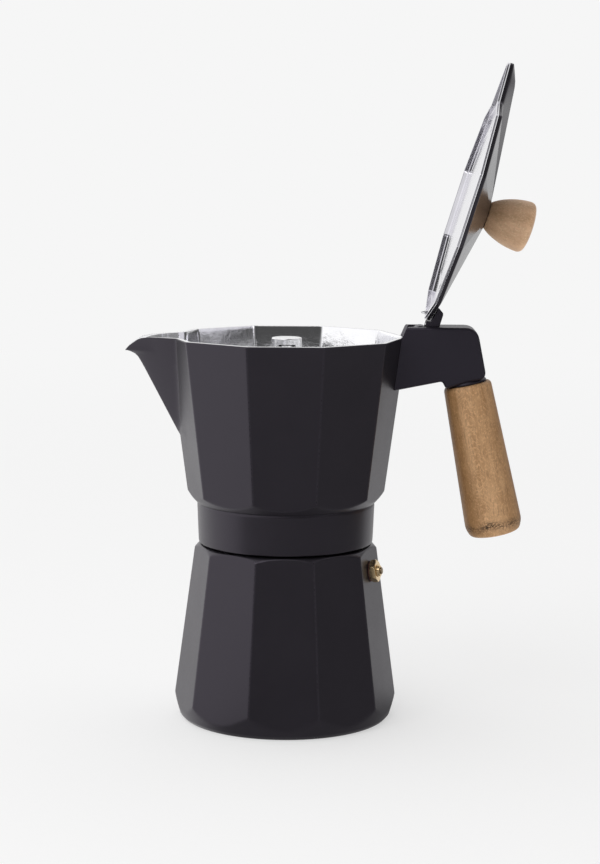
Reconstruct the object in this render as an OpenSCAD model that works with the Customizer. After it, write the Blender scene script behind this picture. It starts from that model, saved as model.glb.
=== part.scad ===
// Moka pot: ten-sided boiler and collector, hinged lid, wood grip and wood knob.
// Frame: millimetres, +Z up, origin at the centre of the base, spout towards -X,
// handle towards +X. The lid is drawn open, the upper half screwed home.

/* [Boiler] */
// Corner radius of the boiler at its widest
boiler_r = 51.5; // [50:0.5:53]
// Corner radius of the boiler under its top chamfer
boiler_top_r = 42.2; // [41.5:0.1:43]
// Height of the widest ring
boiler_wide_z = 9.5; // [8:0.5:11]
// Height of the boiler's shoulder
shoulder_z = 81; // [80:0.5:82]
// Radius of the base that stands on the stove
foot_r = 47.3; // [46:0.1:48]
// Wall of the cast bodies
wall = 2.6; // [2:0.1:3]

/* [Thread] */
// Crest radius of the boiler's thread
thread_r = 34.6; // [34.2:0.1:35]
// Rise of the thread in one turn
thread_pitch = 3.5; // [3:0.25:4]
// Turns of thread on each half
thread_turns = 2; // [1.5:0.5:2.5]

/* [Collector] */
// Corner radius of the rim
rim_r = 55; // [54:0.5:56]
// Height of the rim
rim_z = 177; // [175:1:179]
// Corner radius where the facets end
collector_foot_r = 45.5; // [45:0.1:46]
// Height where the facets end
collector_foot_z = 105.3; // [104:0.1:107]
// Lower edge of the round skirt
skirt_z = 82; // [81.6:0.1:83]
// Reach of the spout's tip from the axis
spout_reach = 74.2; // [72:0.2:76]

/* [Lid] */
// Corner radius of the lid
lid_r = 53.6; // [52:0.1:54]
// Angle from shut to the open stop
lid_open = 107.3; // [90:0.1:108]
// Reach of the lid over the spout
lid_reach = 67.8; // [66:0.1:70]
// Distance of the hinge pin from the pot's axis
hinge_x = 60.8; // [60:0.1:62]

/* [Handle] */
// Half the width of the bracket
bracket_half = 9; // [8:0.5:10]
// Lean of the grip from upright
grip_lean = 11.5; // [8:0.5:14]
// Length of the wood grip
grip_len = 71; // [60:1:80]
// Radius of the grip at its upper end
grip_top_r = 10.9; // [10:0.1:12]
// Radius of the grip near its lower end
grip_end_r = 13; // [11:0.1:14]

/* [Knob] */
// Height of the wood knob
knob_h = 21.4; // [18:0.1:24]
// Greatest radius of the knob
knob_r = 11.8; // [10:0.1:13]

/* [Hidden] */

$fn = 96;
sides = 10;
half_side = 180 / sides;
fit = 0.05;      // radial play of pins and screws
gap = 0.3;       // play between moving faces
eps = 0.01;

matte_black = "#333335";
bare_metal = "#c9cacc";
brass_colour = "#c9a35a";
wood_colour = "#b08a62";

// Boiler
facet_slope = (boiler_r - boiler_top_r) / (shoulder_z - 2.2 - boiler_wide_z);
boiler_r_at_0 = boiler_r + boiler_wide_z * facet_slope;
shoulder_r = 39.9;
neck_z = 93;
mouth_r = 30.5;
thread_depth = 0.6;
thread_play = 1.4;    // radial, so that the upper half lifts straight off
thread_z = shoulder_z + 2.5;

// Valve, on the facet just in front of the handle
valve_z = 70.3;
valve_angle = -half_side;
valve_facet = (boiler_r_at_0 - valve_z * facet_slope) * cos(half_side);
valve_tilt = atan(facet_slope * cos(half_side));
hex_across_flats = 9.2;
hex_h = 2.9;
washer_h = 0.6;
washer_r = 4.8;
shank_r = 4;
poppet_r = 1.35;
poppet_travel = 1.2;
valve_cavity_r = 2.8;

// Funnel and seal
funnel_r = 29.9;
sheet = 1;
flange_r = 33.4;
basket_z = 71;
stem_r = 4.6;
stem_z = 7;
gasket_h = 3.4;
seat_z = neck_z + sheet;
plate_z = seat_z + gasket_h;
plate_h = 0.8;

// Collector
floor_under_z = plate_z + plate_h + gap;
floor_z = 104;
skirt_top_z = 100.6;
skirt_r = 40.2;
skirt_inner_r = thread_r + thread_play + thread_depth;
collector_slope = (rim_r - collector_foot_r) / (rim_z - collector_foot_z);
rim_inner_r = rim_r - wall;
column_r = 4;
column_top_z = 173.2;
cap_r = 6.9;
cap_low_z = 167;
cap_top_z = 176.3;
cap_sheet = 0.9;
cap_window_half = 4.1;
cap_window_top = cap_top_z - 2.8;

// Lid, in its own frame: X and Y across the lid, Z up through the knob when shut
lid_z = rim_z + 2.5;
hinge_z = lid_z - 1.3;
skirt_low = -0.95;
skirt_high = 1.05;
apex_r = 6.2;
apex_h = 10.9;
lid_sheet = 1;
screw_seat = apex_h - lid_sheet;
ridge_end = [59.5, 4.6];       // reach and height of the cover's ridge over the spout
cover_half = 14.6;
liner_r = lid_r - 0.2;
liner_low = -1.75;
liner_high = skirt_low - 0.02;
liner_lip = 1.5;
tray_low = -0.15;
tray_high = 0.35;
tongue_half = 5;
rivet_x = 49.6;
rivet_y = 2.6;
rivet_r = 1.05;
knuckle_r = 4.2;
pin_r = 1.5;

// Handle
bracket_top_z = 182;
grip_x = 82.75;
grip_z = 155.6;
bolt_r = 2.4;
insert_r = 3.6;
screw_r = 2;
screw_z = 163;

function r_at(r0, z0, slope, z) = r0 + (z - z0) * slope;

// ---------------------------------------------------------------- helpers

// Ten-sided frustum with a corner on each side of the X axis
module facets(r_low, r_high, z_low, z_high) {
    translate([0, 0, z_low])
        cylinder(r1 = r_low, r2 = r_high, h = z_high - z_low, $fn = sides);
}

// Outer shape of the collector's facets between two heights, moved out by grow
module collector_facets(z_low, z_high, grow = 0) {
    facets(r_at(collector_foot_r, collector_foot_z, collector_slope, z_low) + grow,
           r_at(collector_foot_r, collector_foot_z, collector_slope, z_high) + grow,
           z_low, z_high);
}

// One helical ridge of triangular section, standing depth proud of r (or inside it)
module thread_ridge(r, depth, z, turns) {
    steps = 36;
    count = steps * turns;
    root = depth > 0 ? -0.3 : 0.3;
    section = [[root, -1], [root, 1], [depth, 0.25], [depth, -0.25]];
    ring = [for (i = [0 : count]) let (
            a = 360 * i / steps,
            rise = max(min(1, i / 2, (count - i) / 2), 0.1)
        ) for (p = section) let (
            out = root + (p[0] - root) * rise
        ) [(r + out) * cos(a), (r + out) * sin(a), z + thread_pitch * i / steps + p[1]]];
    n = len(section);
    sides_out = [for (i = [0 : count - 1]) for (k = [0 : n - 1])
        [i * n + k, i * n + (k + 1) % n, (i + 1) * n + (k + 1) % n, (i + 1) * n + k]];
    ends = [[for (k = [n - 1 : -1 : 0]) k], [for (k = [0 : n - 1]) count * n + k]];
    faces = concat(sides_out, ends);
    polyhedron(ring, depth > 0 ? faces : [for (f = faces) [for (k = [len(f) - 1 : -1 : 0]) f[k]]]);
}

// Holes through a disc, in rings of six times the ring's number
module sieve_holes(rings, pitch, r, z, h) {
    for (k = [1 : rings])
        for (i = [0 : 6 * k - 1])
            rotate(i * 60 / k)
                translate([k * pitch, 0, z])
                    cylinder(r = r, h = h, $fn = 16);
}

// The valve's own frame: +Z out of the facet, 0 on its face
module at_valve() {
    rotate([0, 0, valve_angle])
        translate([valve_facet, 0, valve_z])
            rotate([0, 90 - valve_tilt, 0])
                children();
}

// The lid's own frame, turned open about the hinge pin
module at_lid() {
    translate([hinge_x, 0, hinge_z])
        rotate([0, lid_open, 0])
            translate([-hinge_x, 0, lid_z - hinge_z])
                children();
}

// The grip's own frame: 0 at the joint with the bracket, -Z down the grip
module at_grip() {
    translate([grip_x, 0, grip_z])
        rotate([0, -grip_lean, 0])
            children();
}

// ---------------------------------------------------------------- boiler

module boiler_outline() {
    rotate_extrude()
        polygon([[0, 0], [foot_r, 0], [foot_r + 1.7, 1.9], [boiler_r - 0.2, boiler_wide_z],
                 [boiler_r + 0.8, boiler_wide_z + 4], [boiler_top_r + 1.4, shoulder_z - 6],
                 [boiler_top_r + 0.1, shoulder_z - 2.2], [shoulder_r, shoulder_z],
                 [0, shoulder_z]]);
}

module boiler() {
    color(matte_black)
    difference() {
        union() {
            intersection() {
                facets(boiler_r_at_0, boiler_r_at_0 - shoulder_z * facet_slope, 0, shoulder_z);
                boiler_outline();
            }
            cylinder(r = thread_r - thread_depth, h = neck_z);
            thread_ridge(thread_r - thread_depth, thread_depth, thread_z, thread_turns);
        }
        rotate_extrude()
            polygon([[0, 3], [43, 3], [45, 5], [45.6, 9], [37.6, 70], [mouth_r, 79],
                     [mouth_r, neck_z + 1], [0, neck_z + 1]]);
        at_valve()
            translate([0, 0, -8])
                cylinder(r = shank_r + fit, h = 10);
    }
}

// ---------------------------------------------------------------- safety valve

module valve_washer() {
    color("#8a4b2f")
    at_valve()
        difference() {
            translate([0, 0, 0.02])
                cylinder(r = washer_r, h = washer_h - 0.02);
            translate([0, 0, -1])
                cylinder(r = shank_r + fit, h = 3);
        }
}

module valve_body() {
    color(brass_colour)
    at_valve()
        difference() {
            union() {
                translate([0, 0, washer_h])
                    cylinder(r = hex_across_flats / 2 / cos(30), h = hex_h, $fn = 6);
                translate([0, 0, -7.5])
                    cylinder(r = shank_r, h = 7.5 + washer_h + eps);
            }
            translate([0, 0, -8])
                cylinder(r = 1.7, h = 3);
            translate([0, 0, -6])
                cylinder(r = valve_cavity_r, h = 6 + washer_h + hex_h + 1);
        }
}

module valve_cap() {
    color(brass_colour)
    at_valve()
        difference() {
            union() {
                translate([0, 0, washer_h + hex_h - 1.6])
                    cylinder(r = valve_cavity_r - 0.02, h = 1.6 + eps);
                translate([0, 0, washer_h + hex_h])
                    cylinder(r = 3.3, h = 0.9);
            }
            cylinder(r = poppet_r + fit, h = 10);
        }
}

// Conical head on the seat and a stem out through the cap
module valve_poppet() {
    color("#b9b4a8")
    at_valve()
        rotate_extrude()
            polygon([[0, -6.3], [1.3, -6.3], [2.5, -5.05], [2.5, -4.4], [poppet_r, -4.4],
                     [poppet_r, 5.5], [poppet_r - 0.35, 5.9], [0, 5.9]]);
}

// Round wire wound about the poppet's stem, between its head and the cap
module valve_spring() {
    wire = 0.28;
    turns = 5;
    steps = 18;
    mean_r = 2.1;
    z_low = -4.4 + wire + 0.02;
    z_high = washer_h + hex_h - 1.6 - wire - 0.02;
    n = 6;
    count = steps * turns;
    ring = [for (i = [0 : count]) let (a = 360 * i / steps, z = z_low + (z_high - z_low) * i / count)
        for (k = [0 : n - 1]) let (b = 360 * k / n)
            [(mean_r + wire * cos(b)) * cos(a), (mean_r + wire * cos(b)) * sin(a),
             z + wire * sin(b)]];
    faces = concat(
        [for (i = [0 : count - 1]) for (k = [0 : n - 1])
            [i * n + k, i * n + (k + 1) % n, (i + 1) * n + (k + 1) % n, (i + 1) * n + k]],
        [[for (k = [n - 1 : -1 : 0]) k], [for (k = [0 : n - 1]) count * n + k]]);
    color("#9fa2a6")
    at_valve()
        polyhedron(ring, faces);
}

// ---------------------------------------------------------------- funnel and seal

// Basket with a rolled rim on the boiler's mouth and a long stem down into the water
module funnel() {
    color(bare_metal)
    rotate_extrude()
        polygon([[flange_r, seat_z], [flange_r, neck_z + 0.02], [funnel_r, neck_z + 0.02],
                 [funnel_r, basket_z + 2], [stem_r + 3, basket_z - 6], [stem_r, basket_z - 9],
                 [stem_r, stem_z], [stem_r - sheet, stem_z], [stem_r - sheet, basket_z - 8.6],
                 [stem_r + 2.3, basket_z - 5.2], [funnel_r - sheet, basket_z + 2.7],
                 [funnel_r - sheet, seat_z]]);
}

module funnel_sieve() {
    color(bare_metal)
    difference() {
        translate([0, 0, basket_z + 3])
            cylinder(r = funnel_r - sheet - 0.03, h = 0.8);
        sieve_holes(5, 5.2, 0.7, basket_z + 2, 3);
    }
}

module gasket() {
    color("#d8d5cc")
    rotate_extrude()
        polygon([[26.5, seat_z + gap], [flange_r, seat_z + gap], [flange_r + 0.6, seat_z + 0.9],
                 [flange_r + 0.6, plate_z - 0.4], [flange_r + 0.2, plate_z], [26.5, plate_z]]);
}

module filter_plate() {
    color(bare_metal)
    difference() {
        rotate_extrude()
            polygon([[0, plate_z - 1.6], [24.6, plate_z - 1.6], [25.8, plate_z],
                     [32.6, plate_z], [32.6, plate_z + plate_h], [25.2, plate_z + plate_h],
                     [24, plate_z - 0.8], [0, plate_z - 0.8]]);
        sieve_holes(6, 3.8, 0.5, plate_z - 3, 5);
    }
}

// ---------------------------------------------------------------- collector

// Beak of the spout: inset 0 is its outside, inset wall its open channel
module beak(inset) {
    keel = [-48.5 + inset, 131 + 3 * inset];
    nose = [-67.2 + 1.2 * inset, 166.3];
    tip = spout_reach - 1.6 * inset;
    top = rim_z + (inset > 0 ? 3 : 0);
    hull() {
        translate([keel[0], 0, keel[1]])
            sphere(r = 1, $fn = 24);
        translate([nose[0] + 1.2, 0, nose[1]])
            sphere(r = 1.4, $fn = 24);
        translate([nose[0] + 2.2, 0, top - 0.5])
            cylinder(r = 5.6 - 0.8 * inset, h = 0.5, $fn = 32);
        translate([-46, -18 + inset, top - 0.5])
            cube([1, 36 - 2 * inset, 0.5]);
        translate([-40, -10, keel[1] + 4])
            cube([1, 20, 1]);
    }
    hull() {
        translate([nose[0] + 1.2, 0, nose[1]])
            sphere(r = 1.4, $fn = 24);
        translate([nose[0] + 2.2, 0, top - 0.5])
            cylinder(r = 5.6 - 0.8 * inset, h = 0.5, $fn = 32);
        translate([-tip + 1.6, 0, 171.4 + 0.7 * inset])
            sphere(r = 1.5, $fn = 24);
        translate([-tip + 3.6, 0, 173.6 + 0.7 * inset])
            sphere(r = 2.2, $fn = 24);
    }
}

module collector() {
    inner_low = r_at(collector_foot_r, collector_foot_z, collector_slope, floor_z) - wall;
    color(matte_black) {
        difference() {
            union() {
                intersection() {
                    collector_facets(skirt_top_z, rim_z);
                    rotate_extrude()
                        polygon([[0, skirt_top_z], [40.9, skirt_top_z], [45.4, collector_foot_z],
                                 [rim_r + 1, collector_foot_z + 12], [rim_r + 1, rim_z], [0, rim_z]]);
                }
                rotate_extrude()
                    polygon([[0, skirt_z], [skirt_r - 0.8, skirt_z], [skirt_r, skirt_z + 0.8],
                             [40.9, skirt_top_z - 0.9], [40.4, skirt_top_z + eps],
                             [0, skirt_top_z + eps]]);
                difference() {
                    beak(0);
                    cylinder(r = 40, h = 200);
                }
            }
            intersection() {
                facets(inner_low, rim_inner_r + collector_slope * 3, floor_z, rim_z + 3);
                rotate_extrude()
                    polygon([[0, floor_z], [35, floor_z], [38.5, floor_z + 1], [41, floor_z + 4],
                             [rim_r, floor_z + 30], [rim_r, rim_z + 3], [0, rim_z + 3]]);
            }
            beak(2.2);
            // female side: seal recess and thread bore, open below
            translate([0, 0, skirt_z - 1])
                cylinder(r = skirt_inner_r, h = floor_under_z - skirt_z + 1);
            cylinder(r = column_r + fit, h = 200);
            translate([40, 0, screw_z])
                rotate([0, 90, 0])
                    cylinder(r = screw_r + fit, h = 30);
        }
        thread_ridge(skirt_inner_r, -thread_depth, thread_z + thread_pitch / 2, thread_turns);
    }
}

module column() {
    color(bare_metal)
    difference() {
        union() {
            translate([0, 0, floor_under_z])
                cylinder(r = column_r, h = column_top_z - floor_under_z);
            rotate_extrude()
                polygon([[column_r - 1, floor_z + 0.02], [8, floor_z + 0.02], [7, floor_z + 2],
                         [column_r + 0.8, floor_z + 9], [column_r - 1, floor_z + 60]]);
        }
        cylinder(r = column_r - 1, h = 200);
    }
}

// Cap that throws the coffee sideways through its two windows
module column_cap() {
    color(bare_metal)
    difference() {
        rotate_extrude()
            polygon([[column_r + fit, cap_low_z], [cap_r - 0.4, cap_low_z],
                     [cap_r, cap_low_z + 0.4], [cap_r, cap_top_z - 0.4],
                     [cap_r - 0.4, cap_top_z], [0, cap_top_z], [0, cap_top_z - cap_sheet],
                     [cap_r - 1.2, cap_top_z - cap_sheet], [cap_r - 1.2, cap_low_z + 1.5],
                     [column_r + fit, cap_low_z + 1.5]]);
        translate([-cap_window_half, -cap_r - 1, cap_low_z + 2.5])
            cube([2 * cap_window_half, 2 * cap_r + 2, cap_window_top - cap_low_z - 2.5]);
    }
}

// ---------------------------------------------------------------- handle

module bracket_side() {
    polygon([[46, 152.3], [70.9, 157.3], [72.4, 154], [grip_x + 0.5, grip_z + 1.6],
             [grip_x + 8.4, grip_z + 3.2], [87.2, 178.6], [86.2, 180.6], [84.6, 181.7],
             [82.2, bracket_top_z], [46, bracket_top_z]]);
}

// Black moulding between the collector and the grip, slotted for the lid's tongue
module bracket() {
    slot_left = hinge_x - knuckle_r - 1.4;
    slot_right = hinge_x + 8.85;
    slot_floor = hinge_z - knuckle_r - gap - 0.2;
    color("#2b2b2d")
    difference() {
        union() {
            translate([0, bracket_half, 0])
                rotate([90, 0, 0])
                    linear_extrude(2 * bracket_half)
                        bracket_side();
            at_grip()
                cylinder(r = grip_top_r - 1.2, h = 3.5);
            at_grip()
                translate([0, 0, -4])
                    cylinder(r = 6, h = 5);
        }
        collector_facets(140, 190, 0.15);
        translate([slot_left, -tongue_half - 0.4, slot_floor])
            cube([slot_right - slot_left, 2 * tongue_half + 0.8, 20]);
        translate([40, -tongue_half - 0.4, rim_z + 0.3])
            cube([slot_left - 39, 2 * tongue_half + 0.8, 20]);
        translate([hinge_x, 0, hinge_z])
            rotate([90, 0, 0])
                translate([0, 0, -bracket_half - 1])
                    cylinder(r = pin_r + fit / 2, h = 2 * bracket_half - 1);
        translate([40, 0, screw_z])
            rotate([0, 90, 0])
                cylinder(r = screw_r + fit, h = 28);
        at_grip()
            translate([0, 0, -5])
                cylinder(r = insert_r + 0.02, h = 15);
    }
}

module bracket_screw() {
    color(bare_metal)
    translate([0, 0, screw_z])
        rotate([0, 90, 0]) {
            translate([0, 0, 47.4])
                cylinder(r = screw_r, h = 19);
            translate([0, 0, 45])
                cylinder(r = 3.8, h = 2.4 + eps);
        }
}

module hinge_pin() {
    color(bare_metal)
    translate([hinge_x, 0, hinge_z])
        rotate([90, 0, 0])
            translate([0, 0, -bracket_half + 0.2])
                cylinder(r = pin_r, h = 2 * bracket_half - 2.4);
}

module grip() {
    color(wood_colour)
    at_grip()
        difference() {
            rotate_extrude()
                polygon([[0, 0], [grip_top_r - 0.7, 0], [grip_top_r, -0.8],
                         [grip_end_r, 6 - grip_len], [grip_end_r - 0.5, 3.2 - grip_len],
                         [grip_end_r - 2.2, 0.9 - grip_len], [grip_end_r - 4.8, -grip_len],
                         [0, -grip_len]]);
            translate([0, 0, -4.2])
                cylinder(r = 6 + fit, h = 5);
            translate([0, 0, -grip_len - 1])
                cylinder(r = bolt_r + fit, h = grip_len + 2);
            translate([0, 0, -grip_len - 1])
                cylinder(r = 4.6, h = 7);
        }
}

module grip_insert() {
    color(brass_colour)
    at_grip()
        difference() {
            translate([0, 0, -3.9])
                cylinder(r = insert_r, h = 13.5);
            translate([0, 0, -5])
                cylinder(r = bolt_r + fit, h = 16);
        }
}

module grip_bolt() {
    color(bare_metal)
    at_grip()
        difference() {
            union() {
                translate([0, 0, 6 - grip_len])
                    cylinder(r = bolt_r, h = grip_len + 2);
                translate([0, 0, 3 - grip_len])
                    cylinder(r = 4.2, h = 3 + eps);
            }
            translate([0, 0, 2 - grip_len])
                cylinder(r = 1.7, h = 2.8, $fn = 6);
        }
}

// ---------------------------------------------------------------- lid

// Solid with the lid's outline: the ten sides and the cover over the spout
module lid_solid(shrink, low, drop) {
    r = lid_r - shrink;
    facets(r, r, low, skirt_high - drop);
    facets(r, apex_r, skirt_high - drop, apex_h - drop);
    hull() {
        translate([0, 0, apex_h - drop - 0.5])
            cylinder(r = apex_r - 1, h = 0.4, $fn = 32);
        translate([shrink - ridge_end[0], -0.5, low])
            cube([1, 1, ridge_end[1] - drop - low]);
        translate([-lid_reach + shrink, -2.5, low])
            cube([1, 5, 1.3 - drop - low]);
        translate([shrink - 48, shrink - cover_half, low])
            cube([1, 2 * (cover_half - shrink), skirt_high - drop - low]);
    }
}

module lid_shell() {
    color(matte_black)
    at_lid()
        difference() {
            lid_solid(0, skirt_low, 0);
            lid_solid(lid_sheet, skirt_low - 1, lid_sheet);
            translate([0, 0, -10])
                cylinder(r = screw_r + fit, h = 30);
            for (y = [-rivet_y, rivet_y])
                translate([rivet_x, y, -5])
                    cylinder(r = rivet_r + fit, h = 10);
        }
}

// Flat cover over the spout, from the lid's edge to its beak, moved in by inset
module liner_beak(inset, low, high) {
    hull() {
        translate([inset - 49, inset - 14, low])
            cube([1, 2 * (14 - inset), high - low]);
        translate([inset + 0.3 - lid_reach, inset / 2 - 2.2, low])
            cube([1, 4.4 - inset, high - low]);
    }
}

// Bright inner sheet: a lip round the edge, a shallow tray and a tab at the hinge
module lid_liner() {
    tray_r = liner_r - liner_lip - 1.3;
    color(bare_metal)
    at_lid()
        difference() {
            union() {
                facets(liner_r, liner_r, liner_low, liner_high);
                facets(liner_r - 1.1, tray_r + 0.3, liner_high - eps, tray_high);
                liner_beak(0, liner_low, liner_high);
                translate([0, 1.8, 0])
                    rotate([90, 0, 0])
                        linear_extrude(3.6)
                            polygon([[48.6, -1], [50.7, -4.1], [51.2, -4.1], [51.6, -1]]);
            }
            difference() {
                union() {
                    facets(liner_r - liner_lip, tray_r, liner_low - eps, tray_low);
                    liner_beak(liner_lip, liner_low - eps, -1.45);
                }
                translate([48, -1.8, -5])
                    cube([5, 3.6, 6]);
            }
            for (y = [-rivet_y, rivet_y])
                translate([rivet_x, y, -0.7])
                    cylinder(r = rivet_r + fit, h = 3);
        }
}

// Hinge tongue on the lid, bored for the pin and shaped to the lid's slope
module lid_tongue() {
    back = 5.8;
    pivot = hinge_z - lid_z;
    color("#2b2b2d")
    at_lid()
        difference() {
            union() {
                translate([0, tongue_half, 0])
                    rotate([90, 0, 0])
                        linear_extrude(2 * tongue_half)
                            polygon([[46.6, 1], [46.6, 3.4], [48, back], [55, back],
                                     [hinge_x + 3.4, pivot + 2.4], [hinge_x, pivot - 3],
                                     [lid_r + 0.3, -0.6], [lid_r + 0.3, 1]]);
                translate([hinge_x, tongue_half, pivot])
                    rotate([90, 0, 0])
                        cylinder(r = knuckle_r, h = 2 * tongue_half);
            }
            facets(lid_r + 0.03, apex_r, skirt_high + 0.02, apex_h + 0.02);
            facets(lid_r + 0.03, lid_r + 0.03, -3, skirt_high + 0.03);
            translate([hinge_x, tongue_half + 1, pivot])
                rotate([90, 0, 0])
                    cylinder(r = pin_r + fit, h = 2 * tongue_half + 2);
            for (y = [-rivet_y, rivet_y])
                translate([rivet_x, y, 0])
                    cylinder(r = rivet_r + fit, h = back - 1.2);
        }
}

module tongue_rivets() {
    color(bare_metal)
    at_lid()
        for (y = [-rivet_y, rivet_y])
            translate([rivet_x, y, -0.5])
                cylinder(r = rivet_r, h = 5);
}

module knob() {
    color(wood_colour)
    at_lid()
        translate([0, 0, apex_h + 0.02])
            difference() {
                rotate_extrude()
                    polygon([[0, 0], [6.1, 0], [7.3, 1.7], [8.3, 3.5], [9.7, 7], [10.8, 10.6],
                             [11.4, 14], [knob_r, 16.8], [knob_r - 0.05, knob_h - 3.4],
                             [knob_r - 0.7, knob_h - 2.1], [knob_r - 2.2, knob_h - 1.1],
                             [knob_r - 5.2, knob_h - 0.35], [0, knob_h]]);
                translate([0, 0, -1])
                    cylinder(r = 3, h = 13);
            }
}

module knob_nut() {
    color(brass_colour)
    at_lid()
        difference() {
            translate([0, 0, apex_h + 1])
                cylinder(r = 2.98, h = 10);
            translate([0, 0, apex_h])
                cylinder(r = screw_r + fit, h = 12);
        }
}

module knob_screw() {
    color(bare_metal)
    at_lid() {
        translate([0, 0, screw_seat - 0.03])
            cylinder(r = screw_r, h = 9);
        rotate_extrude()
            polygon([[0, screw_seat - 2.2], [2.6, screw_seat - 1.9], [3.8, screw_seat - 1],
                     [3.8, screw_seat - 0.02], [0, screw_seat - 0.02]]);
    }
}

boiler();
valve_washer();
valve_body();
valve_cap();
valve_poppet();
valve_spring();
funnel();
funnel_sieve();
gasket();
filter_plate();
collector();
column();
column_cap();
bracket();
bracket_screw();
hinge_pin();
grip();
grip_insert();
grip_bolt();
lid_shell();
lid_liner();
lid_tongue();
tongue_rivets();
knob();
knob_nut();
knob_screw();
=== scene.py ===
"""Moka pot with a ten-sided black body, an open lid and wood handles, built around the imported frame."""

import math

import bmesh
import bpy
import numpy as np
from mathutils import Matrix, Vector


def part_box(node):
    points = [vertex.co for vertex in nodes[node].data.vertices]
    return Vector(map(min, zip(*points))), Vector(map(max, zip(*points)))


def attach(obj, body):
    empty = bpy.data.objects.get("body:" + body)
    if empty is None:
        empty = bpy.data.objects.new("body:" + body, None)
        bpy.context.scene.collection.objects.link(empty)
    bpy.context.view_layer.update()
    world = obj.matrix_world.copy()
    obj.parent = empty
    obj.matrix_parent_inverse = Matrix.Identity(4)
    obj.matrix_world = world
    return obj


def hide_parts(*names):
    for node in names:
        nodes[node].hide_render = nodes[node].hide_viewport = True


MM = 0.001
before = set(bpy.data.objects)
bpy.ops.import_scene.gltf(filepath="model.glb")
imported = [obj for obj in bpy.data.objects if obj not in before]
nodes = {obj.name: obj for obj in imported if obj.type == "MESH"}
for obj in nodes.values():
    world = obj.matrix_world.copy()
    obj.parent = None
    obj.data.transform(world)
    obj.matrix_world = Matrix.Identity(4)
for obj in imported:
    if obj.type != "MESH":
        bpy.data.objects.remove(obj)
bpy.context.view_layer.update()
scene = bpy.context.scene


def box_mm(node):
    """Lowest and highest corner of a CAD node, in millimetres."""
    low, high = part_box(node)
    return np.array(low) / MM, np.array(high) / MM


# ---------------- dimensions, in millimetres

collector_low, collector_high = box_mm("collector")
boiler_high = box_mm("boiler")[1]

# _R is a radius, taken at the corners where a body has ten sides. _Z is a height above the
# floor, and _H one above the foot of the part itself. HALF is half a side's angle.
SIDES = 10
SECTOR = 360.0 / SIDES
HALF = math.pi / SIDES

RIM_Z = collector_high[2]
RIM_R = collector_high[0]
SPOUT_TIP = -collector_low[0]
FOOT_OF_WALL_R = 45.5
FOOT_OF_WALL_Z = 105.3
COLLECTOR_SLOPE = (RIM_R - FOOT_OF_WALL_R) / (RIM_Z - FOOT_OF_WALL_Z)
SKIRT_Z = collector_low[2]
SKIRT_R = 40.2
SKIRT_TOP_R = 40.9
SKIRT_TOP_Z = 100.6
WALL = 2.6
LEAST_WALL = 1.3
FLOOR_Z = 104.0
FLOOR_UNDER_Z = 98.5
COLUMN_BORE_R = 4.05

BOILER_WIDE_Z = 9.5
BOILER_R = 51.5
BOILER_TOP_R = 42.2
SHOULDER_Z = 81.0
SHOULDER_R = 39.9
FOOT_R = 47.3
NECK_Z = boiler_high[2]
BOILER_TOP_Z = SHOULDER_Z - 2.2
BOILER_SLOPE = (BOILER_R - BOILER_TOP_R) / (BOILER_TOP_Z - BOILER_WIDE_Z)
MOUTH_R = 30.5
THREAD_R = 34.6
THREAD_DEPTH = 0.6
THREAD_PITCH = 3.5
THREAD_Z = SHOULDER_Z + 2.5
THREAD_PLAY = 1.4
THREAD_TURNS = 2.0

LID_R = 53.6
LID_Z = RIM_Z + 2.5
LID_REACH = 67.8
LID_EDGE_H = 1.05
COVER_X = 48.5
COVER_HALF = 14.6
COVER_BEND_X = 59.5
APEX_R = 6.2
APEX_H = 10.9
HINGE = Vector((60.8, 0.0, 178.2))
LID_OPEN = math.radians(107.3)
TONGUE_HALF = 5.0
SLOT_HALF = 5.4
KNUCKLE_R = 4.2
PIN_R = 1.49

GRIP_ORIGIN = Vector((82.75, 0.0, 155.6))
GRIP_LEAN = math.radians(11.5)
GRIP_LEN = 71.0
GRIP_TOP_R = 10.9
GRIP_END_R = 13.0
BRACKET_HALF = 9.0

VALVE_ANGLE = -HALF
VALVE_Z = 70.3
VALVE_TILT = math.atan(BOILER_SLOPE * math.cos(HALF))
VALVE_FACET = (BOILER_R + (BOILER_WIDE_Z - VALVE_Z) * BOILER_SLOPE) * math.cos(HALF)
HEX_FLATS = 9.2
HEX_H = 2.9
WASHER_H = 0.6
WASHER_R = 4.8


# ---------------- frames of the leaning parts

def mm_matrix(matrix):
    """A placement given in millimetres, with its translation turned into metres."""
    out = matrix.copy()
    out.translation = matrix.translation * MM
    return out


AT_LID = mm_matrix(
    Matrix.Translation(HINGE) @ Matrix.Rotation(LID_OPEN, 4, "Y")
    @ Matrix.Translation(Vector((-HINGE.x, 0, LID_Z - HINGE.z))))
AT_KNOB = AT_LID @ Matrix.Translation((0, 0, APEX_H * MM))
AT_GRIP = mm_matrix(Matrix.Translation(GRIP_ORIGIN) @ Matrix.Rotation(-GRIP_LEAN, 4, "Y"))
AT_VALVE = mm_matrix(
    Matrix.Rotation(VALVE_ANGLE, 4, "Z") @ Matrix.Translation(Vector((VALVE_FACET, 0, VALVE_Z)))
    @ Matrix.Rotation(math.pi / 2 - VALVE_TILT, 4, "Y"))
UPRIGHT = Matrix.Identity(4)


# ---------------- node helpers

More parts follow.
